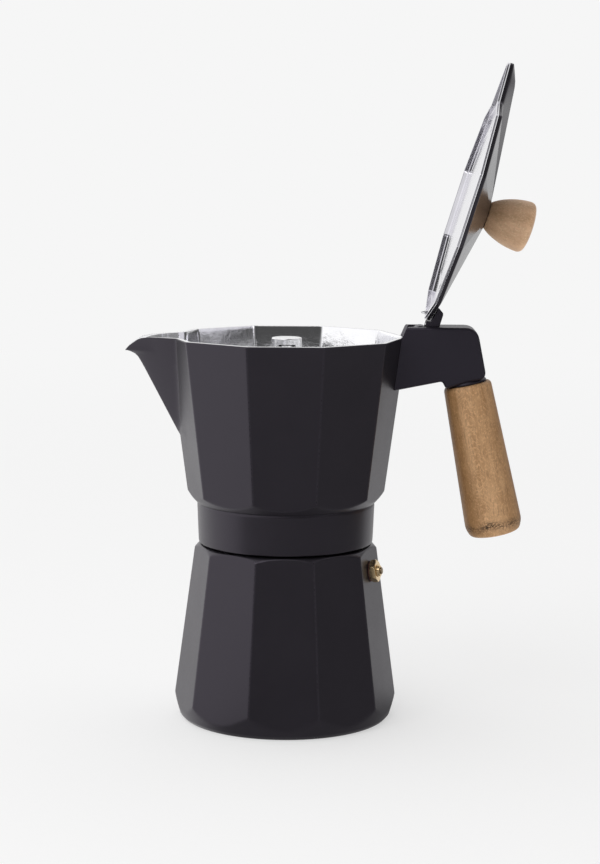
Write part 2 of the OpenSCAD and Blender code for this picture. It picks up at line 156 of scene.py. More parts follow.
class Tree:
    """Short way to build a material's or the world's nodes."""

    def __init__(self, owner, place=None):
        owner.use_nodes = True
        self.tree = owner.node_tree
        self.tree.nodes.clear()
        self.place = place

    def add(self, kind, settings=None, **inputs):
        node = self.tree.nodes.new(kind)
        for key, value in (settings or {}).items():
            setattr(node, key, value)
        for key, value in inputs.items():
            self.feed(node.inputs[key.replace("_", " ")], value)
        return node

    def feed(self, socket, value):
        if isinstance(value, bpy.types.NodeSocket):
            self.tree.links.new(value, socket)
        else:
            socket.default_value = value

    def split(self, vector):
        """The X, Y and Z of a vector."""
        return self.add("ShaderNodeSeparateXYZ", Vector=vector).outputs

    def math(self, operation, a, b=0.0):
        node = self.add("ShaderNodeMath", {"operation": operation})
        self.feed(node.inputs[0], a)
        self.feed(node.inputs[1], b)
        return node.outputs[0]

    def times(self, a, b):
        return self.math("MULTIPLY", a, b)

    def plus(self, a, b):
        return self.math("ADD", a, b)

    def ramp(self, fac, stops, interpolation="LINEAR"):
        node = self.add("ShaderNodeValToRGB", Fac=fac)
        node.color_ramp.interpolation = interpolation
        elements = node.color_ramp.elements
        while len(elements) < len(stops):
            elements.new(0.5)
        for element, (position, colour) in zip(elements, stops):
            element.position = position
            element.color = grey(colour) if isinstance(colour, float) else shade(colour, 1.0)
        return node.outputs["Color"]

    def mix(self, fac, a, b, blend="MIX"):
        node = self.add("ShaderNodeMix", {"data_type": "RGBA", "blend_type": blend})
        self.feed(node.inputs["Factor"], fac)
        self.feed(node.inputs[6], a)
        self.feed(node.inputs[7], b)
        return node.outputs[2]

    def noise(self, vector, scale, detail, rough):
        node = self.add("ShaderNodeTexNoise", Vector=vector, Scale=scale, Detail=detail,
                        Roughness=rough)
        return node.outputs["Fac"]

    def object_coords(self, scale=(1, 1, 1)):
        """Coordinates of the piece, or of the placement that its mesh was moved by."""
        coords = self.add("ShaderNodeTexCoord").outputs["Object"]
        if self.place is not None:
            coords = self.add("ShaderNodeMapping", {"vector_type": "TEXTURE"}, Vector=coords,
                              Location=self.place.translation,
                              Rotation=self.place.to_euler()).outputs[0]
        if scale != (1, 1, 1):
            coords = self.add("ShaderNodeMapping", Vector=coords, Scale=scale).outputs[0]
        return coords

    def attribute(self, name):
        return self.add("ShaderNodeAttribute", {"attribute_name": name}).outputs["Fac"]

    def bump(self, height, distance, strength, normal=None):
        node = self.add("ShaderNodeBump", Height=height, Distance=distance, Strength=strength)
        if normal is not None:
            self.feed(node.inputs["Normal"], normal)
        return node.outputs[0]

    def surface(self, shader):
        self.add("ShaderNodeOutputMaterial", Surface=shader)

    def principled(self, **inputs):
        """The surface's shader. What is the same all over is set on its own sockets."""
        self.surface(self.add("ShaderNodeBsdfPrincipled", **inputs).outputs[0])


def grey(value):
    return (value, value, value, 1.0)


def shade(colour, factor):
    return (*[c * factor for c in colour], 1.0)


def new_material(name, place=None):
    material = bpy.data.materials.new(name)
    return material, Tree(material, place)


# ---------------- materials

def coated_black(name, colour, rough):
    """Baked black coating on cast metal: fine grain, faint cloudiness, slightly polished edges
    that are lighter, as wear and as a painted highlight.
    """
    material, t = new_material(name)
    coords = t.object_coords()
    cloud = t.noise(coords, 38.0, 4.0, 0.6)
    grain = t.noise(coords, 2600.0, 3.0, 0.6)
    fleck = t.noise(coords, 900.0, 2.0, 0.5)
    edge = t.attribute("edge")
    cloudy = t.ramp(cloud, [(0.35, 0.0), (0.65, 1.0)])
    base = t.mix(cloudy, shade(colour, 0.93), shade(colour, 1.07))
    # painted highlight and wear: the corners' colour is lightened, for worn coating and for the light
    # along the rounded edges
    base = t.mix(t.times(edge, 0.5), base, shade(colour, 2.2))
    roughness = t.plus(t.times(t.math("SUBTRACT", cloud, 0.5), 0.10), rough)
    roughness = t.plus(roughness, t.times(t.math("SUBTRACT", fleck, 0.5), 0.08))
    roughness = t.math("SUBTRACT", roughness, t.times(edge, 0.08))
    normal = t.bump(grain, 0.00002, 0.35)
    t.principled(Base_Color=base, Roughness=roughness, Normal=normal,
                 Specular_Tint=(1.0, 0.90, 1.10, 1.0))
    return material


def polished(name, colour, rough, ripple, lathe_pitch=0.0, place=None):
    """Bare bright metal, with soft polishing ripples and, where turned, fine lathe marks."""
    material, t = new_material(name, place)
    coords = t.object_coords()
    waves = t.noise(coords, 110.0, 4.0, 0.62)
    streaks = t.noise(t.object_coords(scale=(1, 1, 14)), 420.0, 3.0, 0.6)
    stain = t.noise(coords, 60.0, 4.0, 0.6)
    stained = t.ramp(stain, [(0.3, 0.0), (0.75, 1.0)])
    base = t.mix(stained, shade(colour, 1.0), shade(colour, 0.9))
    roughness = t.plus(t.times(streaks, 0.10), rough - 0.05)
    normal = t.bump(waves, 0.0005, ripple)
    normal = t.bump(streaks, 0.00003, 0.35, normal)
    if lathe_pitch:
        height = t.split(coords)["Z"]
        turned = t.math("SINE", t.times(height, 2 * math.pi / lathe_pitch))
        normal = t.bump(turned, 0.00001, 0.6, normal)
    t.principled(Base_Color=base, Roughness=roughness, Normal=normal, Metallic=1.0)
    return material


def wood(name, light, dark, fleck_scale, pore_stretch, pore_weight, arch_weight, place=None):
    """Oiled light-brown wood: soft long bands, pores, pale flecks and a row of pale arches.
    The attribute flank darkens the sides as painted shade, and char gives the burnt band."""
    material, t = new_material(name, place)
    coords = t.object_coords()
    place_in_piece = t.split(coords)
    bands = t.noise(t.object_coords(scale=(1, 1, 0.12)), 150.0, 3.0, 0.55)
    fibres = t.noise(t.object_coords(scale=(1, 1, 0.10)), 620.0, 4.0, 0.62)
    cloud = t.noise(coords, 90.0, 3.0, 0.6)
    pores = t.noise(t.object_coords(scale=(1, 1, pore_stretch)), 1250.0, 3.0, 0.6)
    flecks = t.noise(t.object_coords(scale=(1, 1, 0.7)), fleck_scale, 4.0, 0.75)
    tone = t.plus(t.times(bands, 0.42), t.times(fibres, 0.26))
    tone = t.plus(tone, t.times(cloud, 0.32))
    middle = tuple(0.5 * (a + b) for a, b in zip(light, dark))
    base = t.ramp(tone, [(0.36, tuple(dark)), (0.50, middle), (0.66, tuple(light))])
    pore_mask = t.ramp(pores, [(0.34, 1.0), (0.46, 0.0)])
    base = t.mix(t.times(pore_mask, pore_weight), base, shade(dark, 0.50))
    fleck_mask = t.ramp(flecks, [(0.50, 0.0), (0.66, 1.0)])
    pale = (*[min(1.0, c * 1.28) for c in light], 1.0)
    base = t.mix(t.times(fleck_mask, 0.55), base, pale)
    off = t.times(t.plus(place_in_piece["X"], 0.0030), 300.0)
    arch = t.plus(t.times(place_in_piece["Z"], 340.0), t.math("POWER", off, 2.0))
    arch = t.math("FRACT", t.plus(arch, t.times(cloud, 7.0)))
    arch = t.ramp(arch, [(0.0, 1.0), (0.14, 0.0), (0.88, 0.0), (1.0, 1.0)])
    near = t.ramp(t.math("ABSOLUTE", off), [(0.7, 1.0), (1.0, 0.0)])
    arch = t.times(t.times(arch, near), arch_weight)
    base = t.mix(arch, base, pale)
    # painted shade: the colour is darkened where the attribute flank is set, on the grip's sides and the
    # knob's neck
    shaded = t.mix(1.0, base, (0.50, 0.43, 0.30, 1.0), "MULTIPLY")
    base = t.mix(t.attribute("flank"), base, shaded)
    specks = t.noise(t.object_coords(scale=(1, 1, 1.5)), 1000.0, 3.0, 0.7)
    burn = t.ramp(specks, [(0.42, 0.0), (0.54, 1.0)])
    base = t.mix(t.times(t.attribute("char"), burn), base, shade(dark, 0.10))
    roughness = t.plus(t.times(fibres, 0.18), 0.42)
    normal = t.bump(fibres, 0.00010, 0.30)
    normal = t.bump(flecks, 0.00008, 0.35, normal)
    t.principled(Base_Color=base, Roughness=roughness, Normal=normal, Specular_IOR_Level=0.42)
    return material


def plastic(name, colour, rough):
    """Moulded black plastic with a fine spark-eroded texture."""
    material, t = new_material(name)
    coords = t.object_coords()
    cloud = t.noise(coords, 50.0, 3.0, 0.5)
    texture = t.noise(coords, 3200.0, 2.0, 0.5)
    base = t.mix(cloud, shade(colour, 0.85), shade(colour, 1.15))
    roughness = t.plus(t.times(cloud, 0.12), rough - 0.06)
    t.principled(Base_Color=base, Roughness=roughness, Normal=t.bump(texture, 0.00003, 0.5),
                 Specular_Tint=(1.0, 0.90, 1.12, 1.0))
    return material


def soft_seal(name, colour, rough):
    """Moulded silicone or pressed fibre, slightly mottled."""
    material, t = new_material(name)
    coords = t.object_coords()
    mottle = t.noise(coords, 260.0, 4.0, 0.6)
    base = t.mix(mottle, shade(colour, 0.84), shade(colour, 1.0))
    roughness = t.plus(t.times(mottle, 0.15), rough)
    t.principled(Base_Color=base, Roughness=roughness, Normal=t.bump(mottle, 0.00008, 0.4),
                 Specular_IOR_Level=0.4)
    return material


BLACK = coated_black("cast_black", (0.0135, 0.0122, 0.0152), 0.35)
LID_BLACK = coated_black("lid_black", (0.0160, 0.0148, 0.0172), 0.17)
BRIGHT = polished("bright_metal", (0.86, 0.86, 0.88), 0.11, 0.32)
TRAY = polished("tray_metal", (0.71, 0.70, 0.745), 0.08, 0.05, place=AT_LID)
TURNED = polished("turned_metal", (0.84, 0.84, 0.85), 0.16, 0.10, lathe_pitch=0.0006)
STEEL = polished("plain_steel", (0.56, 0.56, 0.57), 0.26, 0.10)
BRASS = polished("brass", (0.89, 0.67, 0.39), 0.24, 0.03)
# painted shade: the pin's brass is darkened to stand for the shaded recess round it
SHADE_DARKENED_BRASS = polished("brass_darkened_as_shade", (0.34, 0.25, 0.15), 0.34, 0.03)
GRIP_WOOD = wood("grip_wood", (0.750, 0.455, 0.240), (0.450, 0.240, 0.100), fleck_scale=1250.0,
                 pore_stretch=0.22, pore_weight=0.42, arch_weight=0.45)
KNOB_WOOD = wood("knob_wood", (0.930, 0.595, 0.370), (0.590, 0.345, 0.190), fleck_scale=1500.0,
                 pore_stretch=0.8, pore_weight=0.18, arch_weight=0.0, place=AT_KNOB)
PLASTIC = plastic("handle_black", (0.0125, 0.0112, 0.0165), 0.40)
SEAL = soft_seal("seal", (0.74, 0.71, 0.64), 0.5)
FIBRE = soft_seal("fibre", (0.10, 0.035, 0.025), 0.6)


# ---------------- mesh helpers

def smin(a, b, k):
    """Smooth minimum with a blend about k wide."""
    h = np.maximum(k - np.abs(a - b), 0.0) / k
    return np.minimum(a, b) - h * h * k / 4


def smax(a, b, k):
    return -smin(-a, -b, k)


def mesh_object(name, points_mm, faces, materials, indices=None, matrix=UPRIGHT, layers=None):
    """Smooth-shaded mesh piece from points in millimetres, placed by matrix."""
    mesh = bpy.data.meshes.new(name)
    mesh.from_pydata([tuple(p) for p in np.asarray(points_mm, float) * MM], [], faces)
    for material in materials:
        mesh.materials.append(material)
    if indices is not None:
        mesh.polygons.foreach_set("material_index", indices)
    mesh.polygons.foreach_set("use_smooth", [True] * len(mesh.polygons))
    for layer, values in (layers or {}).items():
        attribute = mesh.attributes.new(layer, "FLOAT", "POINT")
        attribute.data.foreach_set("value", np.asarray(values, np.float32))
    solid = bmesh.new()
    solid.from_mesh(mesh)
    bmesh.ops.recalc_face_normals(solid, faces=solid.faces)
    solid.to_mesh(mesh)
    solid.free()
    obj = bpy.data.objects.new(name, mesh)
    scene.collection.objects.link(obj)
    obj.matrix_world = matrix
    return obj


def skin(name, rings, materials, ring_slots=None, loop=False, matrix=UPRIGHT, layers=None):
    """Closed piece from rings of points. A ring of one point is a pole. loop joins last to first."""
    points = np.vstack(rings)
    starts = np.cumsum([0] + [len(r) for r in rings])
    faces, slots = [], []
    pairs = [(i, i + 1) for i in range(len(rings) - 1)]
    if loop:
        pairs.append((len(rings) - 1, 0))
    for a, b in pairs:
        n = max(len(rings[a]), len(rings[b]))
        for j in range(n):
            k = (j + 1) % n
            if len(rings[a]) == 1:
                face = (starts[a], starts[b] + j, starts[b] + k)
            elif len(rings[b]) == 1:
                face = (starts[a] + j, starts[b], starts[a] + k)
            else:
                face = (starts[a] + j, starts[b] + j, starts[b] + k, starts[a] + k)
            faces.append(tuple(int(v) for v in face))
            slots.append(ring_slots[a] if ring_slots else 0)
    return mesh_object(name, points, faces, materials, slots, matrix, layers)


def rounded(points, radius, steps=4):
    """Outline with its inner corners rounded. points are (r, z) or (x, z), the ends stay.
    radius is one number, or one per point."""
    out = [tuple(points[0])]
    for i in range(1, len(points) - 1):
        before, here, after = (np.array(points[j], float) for j in (i - 1, i, i + 1))
        r = radius[i] if hasattr(radius, "__len__") else radius
        to_before, to_after = before - here, after - here
        reach = min(r, 0.45 * np.linalg.norm(to_before), 0.45 * np.linalg.norm(to_after))
        start = here + to_before / np.linalg.norm(to_before) * reach
        end = here + to_after / np.linalg.norm(to_after) * reach
        if reach < 1e-6:
            out.append(tuple(here))
            continue
        for t in np.linspace(0, 1, steps + 1):
            out.append(tuple((1 - t) ** 2 * start + 2 * t * (1 - t) * here + t * t * end))
    out.append(tuple(points[-1]))
    return out


LARGE_COUNT = 96
SMALL_COUNT = 48


def lathe(name, outline, material, matrix=UPRIGHT, count=LARGE_COUNT, layers_of=None):
    """Turned piece: outline is (r, z) from axis to axis, or a closed loop off the axis."""
    angles = np.linspace(0, 2 * math.pi, count, endpoint=False)
    loop = outline[0][0] > 1e-6
    rings = []
    for r, z in outline:
        if r < 1e-6:
            rings.append(pole(z))
        else:
            rings.append(ring(angles, r, z))
    layers = layers_of(np.vstack(rings)) if layers_of else None
    return skin(name, rings, [material], loop=loop, matrix=matrix, layers=layers)


def bevelled(obj, width_mm, segments=3, angle=30.0):
    """Rounds the sharp edges, and applies it."""
    modifier = obj.modifiers.new("bevel", "BEVEL")
    modifier.width = width_mm * MM
    modifier.segments = segments
    modifier.limit_method = "ANGLE"
    modifier.angle_limit = math.radians(angle)
    apply_all(obj)


def apply_all(obj):
    """Bakes the modifiers into the mesh."""
    graph = bpy.context.evaluated_depsgraph_get()
    mesh = bpy.data.meshes.new_from_object(obj.evaluated_get(graph), depsgraph=graph)
    old = obj.data
    obj.modifiers.clear()
    obj.data = mesh
    bpy.data.meshes.remove(old)


def combine(obj, operation, *others):
    """Joins the other solids to obj or takes them out of it, and deletes them."""
    for other in others:
        modifier = obj.modifiers.new("combine", "BOOLEAN")
        modifier.operation = operation
        modifier.solver = "EXACT"
        modifier.object = other
        bpy.context.view_layer.update()
        apply_all(obj)
        bpy.data.objects.remove(other)


def sharp_smooth(obj, degrees=35.0):
    """Smooth shading that breaks at edges sharper than the given angle."""
    obj.data.polygons.foreach_set("use_smooth", [True] * len(obj.data.polygons))
    obj.data.set_sharp_from_angle(angle=math.radians(degrees))
    modifier = obj.modifiers.new("weighted", "WEIGHTED_NORMAL")
    modifier.keep_sharp = True
    apply_all(obj)
    return obj


def extruded(name, outline, half, material, matrix=UPRIGHT):
    """Prism of an (x, z) outline, from -half to +half along Y."""
    n = len(outline)
    points = [(x, -half, z) for x, z in outline] + [(x, half, z) for x, z in outline]
    faces = [tuple(range(n)), tuple(range(2 * n - 1, n - 1, -1))]
    faces += [(i, (i + 1) % n, n + (i + 1) % n, n + i) for i in range(n)]
    return mesh_object(name, points, faces, [material], matrix=matrix)


def block(name, low, high, material):
    """Box between two corners in millimetres, used as a cutter."""
    outline = [(low[0], low[2]), (high[0], low[2]), (high[0], high[2]), (low[0], high[2])]
    obj = extruded(name, outline, (high[1] - low[1]) / 2, material)
    obj.data.transform(Matrix.Translation((0, (low[1] + high[1]) / 2 * MM, 0)))
    return obj


def rod(name, radius, start, end, material, matrix=UPRIGHT):
    """Plain cylinder between two points in millimetres, used as a cutter."""
    start, end = Vector(start), Vector(end)
    turn = (end - start).to_track_quat("Z", "Y").to_matrix().to_4x4()
    place = mm_matrix(Matrix.Translation(start) @ turn)
    length = (end - start).length
    return lathe(name, [(0, 0), (radius, 0), (radius, length), (0, length)], material,
                 matrix @ place, SMALL_COUNT)


def settled(obj):
    """Moves the placement into the mesh, so that the object's box is the world's."""
    obj.data.transform(obj.matrix_world)
    obj.matrix_world = UPRIGHT
    return obj


def finished(obj, body, slot, *replaced):
    """Puts the piece on its body and hides the CAD nodes that it stands for. slot is not used."""
    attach(obj, body)
    if replaced:
        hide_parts(*replaced)


# ---------------- the ten-sided bodies

# Degrees from a corner to the columns of its mesh, and the same for the spout's corner.
EDGE_STEPS = [0, 0.16, 0.34, 0.55, 0.85, 1.3, 2.2, 4.0, 6.5, 9.0, 11.5, 14.0, 16.2]
SPOUT_STEPS = [0, 0.3, 0.6, 0.9, 1.25, 1.6, 2.0, 2.45, 2.9, 3.4, 3.9, 4.4, 5.0, 5.6, 6.3, 7.0, 7.8,
               8.6, 9.4, 10.2, 11.0, 11.8, 12.6, 13.4, 14.2, 15.0, 15.8, 16.6, 17.4]


def column_angles(spout):
    """Angles of the mesh columns in radians, close together at the corners and at the spout."""
    angles = []
    for corner in range(SIDES):
        steps = SPOUT_STEPS if spout and corner == SIDES // 2 else EDGE_STEPS
        middle = corner * SECTOR
        angles += [middle - s for s in steps[1:]] + [middle + s for s in steps]
        angles.append(middle + SECTOR / 2)
    return np.radians(np.unique(np.round(np.mod(angles, 360.0), 4)))


def spout_angle(angles):
    """Angle from the spout, to either side of it."""
    return np.abs(np.mod(angles, 2 * math.pi) - math.pi)


def facet_radius(angles, apothem, k=0.45):
    """Distance from the axis to a ten-sided outline with softened corners."""
    off = np.abs(np.mod(angles, 2 * HALF) - HALF)
    near = apothem / np.cos(off)
    far = apothem / np.cos(2 * HALF - off)
    return smin(near, far, k)


def edge_wear_and_highlight(angles):
    """1 on the corners, 0 on the flats: edge wear and painted highlight."""
    to_corner = HALF - np.abs(np.mod(angles, 2 * HALF) - HALF)
    return np.clip(1 - np.degrees(to_corner) / 0.9, 0, 1)


def wear_and_highlight_of(rings, angles, span):
    """Edge wear and painted highlight of every point: on the corners between two heights, not the spout.
    """
    wear = edge_wear_and_highlight(angles) * (spout_angle(angles) > math.radians(4))
    return np.concatenate([wear if len(r) > 1 and span[0] < r[0, 2] < span[1] else np.zeros(len(r))
                           for r in rings])


def ring(angles, radius, z):
    radius = np.broadcast_to(radius, angles.shape)
    z = np.broadcast_to(z, angles.shape)
    return np.column_stack([radius * np.cos(angles), radius * np.sin(angles), z])


def pole(z):
    """Ring of one point on the axis."""
    return np.array([[0, 0, z]])


class Rows:
    """Rings of one piece in the order of its section, each with its material slot."""

    def __init__(self, angles):
        self.angles = angles
        self.rings = []
        self.slots = []

    def add(self, radius, z, slot=0):
        self.rings.append(ring(self.angles, radius, z))
        self.slots.append(slot)

    def along(self, outline, slot=0):
        for radius, z in outline:
            self.add(radius, z, slot)

    def close(self, z, slot=0):
        self.rings.append(pole(z))
        self.slots.append(slot)


def thread_height(angles, z, start):
    """0 to 1: how far the helical ridge stands out at each angle of one height."""
    half_foot, flank = 1.15, 0.8
    fades_per_turn = 8
    travel = (z - start) / THREAD_PITCH - angles / (2 * math.pi)
    phase = np.abs(np.mod(travel + 0.5, 1.0) - 0.5) * THREAD_PITCH
    turn = np.floor(travel + 0.5) + angles / (2 * math.pi)
    ends = np.clip(np.minimum(turn, THREAD_TURNS - turn) * fades_per_turn, 0, 1)
    return np.clip((half_foot - phase) / flank, 0, 1) * ends


def boiler_radius(angles, z):
    """Ten sides, cut off by a turned outline at the foot and the shoulder."""
    apothem = (BOILER_R + (BOILER_WIDE_Z - z) * BOILER_SLOPE) * math.cos(HALF)
    outline_z = [0, 1.9, BOILER_WIDE_Z, BOILER_WIDE_Z + 4, SHOULDER_Z - 6, BOILER_TOP_Z,
                 SHOULDER_Z]
    outline_r = [FOOT_R, FOOT_R + 1.7, BOILER_R - 0.2, BOILER_R + 0.8, BOILER_TOP_R + 1.4,
                 BOILER_TOP_R + 0.1, SHOULDER_R]
    return smin(facet_radius(angles, apothem), np.interp(z, outline_z, outline_r), 0.35)


def make_boiler():
    angles = column_angles(False)
    outer = [0.35, 0.8, 1.3] + list(np.arange(1.9, 11.2, 0.45)) + [12, 14, 18]
    outer += list(np.arange(24, 70, 7.0)) + [72, 74, 75.2, 76] + list(np.arange(76.6, 80.7, 0.35))
    rows = Rows(angles)
    row = rows.add
    rows.close(0.9)
    rows.along([(40.5, 0.9), (41.3, 0.75), (41.9, 0.12), (42.5, 0), (FOOT_R - 0.5, 0),
                (FOOT_R - 0.08, 0.12)])
    for z in outer:
        row(boiler_radius(angles, z), z)
    rows.along([(SHOULDER_R - 0.15, SHOULDER_Z - 0.12), (SHOULDER_R - 0.5, SHOULDER_Z)])
    neck = THREAD_R - THREAD_DEPTH
    rows.along([(neck + 0.5, SHOULDER_Z), (neck + 0.1, SHOULDER_Z + 0.15)], 1)
    for z in np.arange(SHOULDER_Z + 0.6, NECK_Z - 0.5, 0.28):
        row(neck + THREAD_DEPTH * thread_height(angles, z, THREAD_Z), z, 1)
    rows.along([(neck - 0.1, NECK_Z - 0.3), (neck - 0.5, NECK_Z), (MOUTH_R + 0.4, NECK_Z),
                (MOUTH_R, NECK_Z - 0.4)], 1)
    inside = rounded([(MOUTH_R, NECK_Z - 1), (MOUTH_R, 79), (37.6, 70), (45.6, 9), (45, 5), (43, 3),
                      (6, 3)], 3.0, 5)
    rows.along(inside, 1)
    rows.close(3, 1)
    layers = {"edge": wear_and_highlight_of(rows.rings, angles, (BOILER_WIDE_Z, SHOULDER_Z - 1))}
    body = skin("boiler_body", rows.rings, [BLACK, BRIGHT], rows.slots, layers=layers)
    finished(body, "boiler", "cast_black", "boiler")


# The keel is the spout's outer line, and LIP gives (height, reach) where its tip turns out.
# LIP_SHARE is the part of the flank that turns out, and the crease is where the flank meets the
# body. TOP_EDGE gives the rim as (degrees from the spout, height).
KEEL_Z = 131.0
KEEL_X = 48.9
KEEL_SLOPE = 0.523
LIP_Z = 164.0
LIP = [(LIP_Z, 66.2), (167.0, 68.0), (168.5, 69.5), (169.5, 71.5), (170.2, 74.0)]
LIP_SHARE = 0.50
CREASE_X = 49.6
SPOUT_HALF = 16.5
TROUGH_RISE = 3.5
TROUGH_INSET = 2.3
BEHIND_CREASE = 8
TOP_EDGE = [(0.0, 170.4), (1.1, 172.4), (2.2, 173.8), (3.7, 175.4), (5.1, 176.2), (7.5, 176.7),
            (11.0, 176.9), (18.0, 177.0)]


def spout_radius(from_spout, z, inset):
    """Distance from the axis to the spout's flank at one height, for angles from the spout."""
    line = KEEL_X + (z - KEEL_Z) * KEEL_SLOPE
    tip = np.interp(z, [point[0] for point in LIP], [point[1] for point in LIP])
    beak = max(min(tip, SPOUT_TIP) - line, 0.0) if z > LIP_Z else 0.0
    keel = line - inset
    height = np.clip((z - KEEL_Z) / (RIM_Z - KEEL_Z), 0, 1)
    half = SPOUT_HALF * height - 0.62 * inset
    power = 1 - 0.2 * height
    if keel < CREASE_X - 1 or half < 0.3:
        return np.zeros_like(from_spout)
    t = np.linspace(0, 1, 60) ** 1.6
    # the turned-out tip is only on the first part of the flank
    fade = np.clip(1 - t / LIP_SHARE, 0, 1)
    x = keel - t * (keel - CREASE_X) + beak * fade ** 1.5
    y = half * t ** power
    # the flank runs on into the body, so that the blend has both surfaces
    slope = half / max(keel - CREASE_X, 1e-3)
    x = np.append(x, CREASE_X - BEHIND_CREASE)
    y = np.append(y, half + slope * BEHIND_CREASE)
    return np.interp(from_spout, np.arctan2(y, x), np.hypot(x, y), right=0.0)


def rim_height(from_spout):
    """Height of the rim, which dips at the spout's tip."""
    return np.interp(np.degrees(from_spout), [a for a, _ in TOP_EDGE], [z for _, z in TOP_EDGE])


def stretched(z, top):
    """A height given for a full-height wall, drawn down to where the wall ends."""
    return np.where(z <= LIP_Z, z, LIP_Z + (z - LIP_Z) * (top - LIP_Z) / (RIM_Z - LIP_Z))


def at_heights(function, angles, heights):
    """A radius function's values along a ring that isn't level."""
    return np.array([float(function(angles[i:i + 1], heights[i])[0]) for i in range(len(angles))])


def collector_outer(angles, z):
    """Ten sides that grow out of the round skirt, and the spout."""
    apothem = (FOOT_OF_WALL_R + (z - FOOT_OF_WALL_Z) * COLLECTOR_SLOPE) * math.cos(HALF)
    chamfer = np.interp(z, [SKIRT_TOP_Z, FOOT_OF_WALL_Z, FOOT_OF_WALL_Z + 12],
                        [SKIRT_TOP_R, FOOT_OF_WALL_R - 0.2, RIM_R + 1])
    body = smin(facet_radius(angles, apothem), chamfer, 0.35)
    from_spout = spout_angle(angles)
    return smax(body, spout_radius(from_spout, z, 0.0), 0.7)


def collector_inner(angles, z):
    """The bare inside: ten sides, a rounded floor and the spout's trough."""
    low = FOOT_OF_WALL_R + (FLOOR_Z - FOOT_OF_WALL_Z) * COLLECTOR_SLOPE - WALL
    high = RIM_R - WALL
    apothem = np.interp(z, [FLOOR_Z, RIM_Z], [low, high]) * math.cos(HALF)
    floor_curve = np.interp(z, [FLOOR_Z, FLOOR_Z + 0.35, FLOOR_Z + 1.4, FLOOR_Z + 4, FLOOR_Z + 30],
                            [35, 37.5, 39.6, 41.4, RIM_R])
    body = smin(facet_radius(angles, apothem, 0.7), floor_curve, 0.8)
    from_spout = spout_angle(angles)
    return smax(body, spout_radius(from_spout, z - TROUGH_RISE, TROUGH_INSET), 1.5)


def make_collector():
    angles = column_angles(True)
    from_spout = spout_angle(angles)
    top = rim_height(from_spout)
    rows = Rows(angles)
    row = rows.add
    bore = THREAD_R + THREAD_PLAY + THREAD_DEPTH
    row(bore + 0.5, SKIRT_Z)
    foot_r = 0.8
    row(SKIRT_R - foot_r, SKIRT_Z)
    for step in (22.5, 45, 67.5, 90):
        a = math.radians(step)
        row(SKIRT_R - foot_r + foot_r * math.sin(a), SKIRT_Z + foot_r - foot_r * math.cos(a))
    for z in (85, 90, 95, 98, 99.2):
        row(np.interp(z, [SKIRT_Z, SKIRT_TOP_Z - 0.9], [SKIRT_R, SKIRT_TOP_R]), z)
    rows.along([(40.85, SKIRT_TOP_Z - 0.5), (40.6, SKIRT_TOP_Z - 0.15), (40.7, SKIRT_TOP_Z + 0.1)])
    for z in list(np.arange(SKIRT_TOP_Z + 0.35, 108.6, 0.42)) + [110, 113, 118, 124, 129, 131]:
        row(collector_outer(angles, z), z)
    tall = list(np.arange(133, 164, 3.1)) + list(np.arange(164.5, RIM_Z - 0.6, 0.5))
    for z in tall:
        heights = stretched(z, top)
        row(at_heights(collector_outer, angles, heights), heights)
    edge = at_heights(collector_outer, angles, top - 0.05)
    row(edge - 0.04, top - 0.42)
    row(edge - 0.14, top - 0.16)
    row(edge - 0.36, top - 0.02, 1)
    inside_edge = np.minimum(at_heights(collector_inner, angles, top), edge - LEAST_WALL)
    rows.along([(inside_edge + 0.14, top), (inside_edge + 0.03, top - 0.05),
                (inside_edge, top - 0.16)], 1)
    for z in tall[::-1]:
        heights = stretched(z - 0.5, top)
        radius = at_heights(collector_inner, angles, heights)
        outer = at_heights(collector_outer, angles, heights)
        row(np.minimum(radius, outer - LEAST_WALL), heights, 1)
    for z in [131, 126, 120, 114, 111] + list(np.arange(109, FLOOR_Z + 0.1, -0.5)):
        outer = collector_outer(angles, z)
        row(np.minimum(collector_inner(angles, z), outer - LEAST_WALL), z, 1)
    rows.along([(radius, FLOOR_Z) for radius in (30, 20, 8, COLUMN_BORE_R)], 1)
    rows.along([(radius, FLOOR_UNDER_Z) for radius in (COLUMN_BORE_R, 15, bore - 0.6)], 1)
    row(bore, FLOOR_UNDER_Z - 0.5, 1)
    for z in np.arange(FLOOR_UNDER_Z - 2, SKIRT_Z + 0.6, -0.3):
        height = thread_height(angles, z, THREAD_Z + THREAD_PITCH / 2)
        row(bore - THREAD_DEPTH * height, z, 1)
    row(bore, SKIRT_Z + 0.5, 1)
    layers = {"edge": wear_and_highlight_of(rows.rings, angles, (FOOT_OF_WALL_Z + 1, RIM_Z + 1))}
    body = skin("collector_body", rows.rings, [BLACK, BRIGHT], rows.slots, loop=True,
                layers=layers)
    finished(body, "collector", "cast_black", "collector")


# ---------------- column and its cap

def make_column():
    outline = rounded([(3.0, FLOOR_UNDER_Z), (3.95, FLOOR_UNDER_Z), (3.95, FLOOR_Z + 0.05),
                       (8.0, FLOOR_Z + 0.05), (7.2, FLOOR_Z + 2), (4.9, FLOOR_Z + 9),
                       (4.0, FLOOR_Z + 40), (4.0, 172.9), (3.75, 173.2), (3.0, 173.2)], 0.8)
    column = lathe("column_tube", outline, TURNED)
    finished(column, "collector", "bright_metal", "column")
    low, high = box_mm("column_cap")
    r, z0, z1 = high[0], low[2], high[2]
    outline = rounded([(4.05, z0), (r - 0.3, z0), (r, z0 + 0.3), (r, z1 - 0.3), (r - 0.3, z1),
                       (0, z1), (0, z1 - 0.9), (r - 1.2, z1 - 0.9), (r - 1.2, z0 + 1.5),
                       (4.05, z0 + 1.5), (4.05, z0)], 0.25)
    cap = lathe("cap_body", outline, TURNED)
    window = block("window", (-4.1, -r - 1, z0 + 2.5), (4.1, r + 1, z1 - 2.8), TURNED)
    combine(cap, "DIFFERENCE", window)
    bevelled(cap, 0.12, 2)
    sharp_smooth(cap, 40)
    finished(cap, "collector", "bright_metal", "column_cap")


# ---------------- safety valve

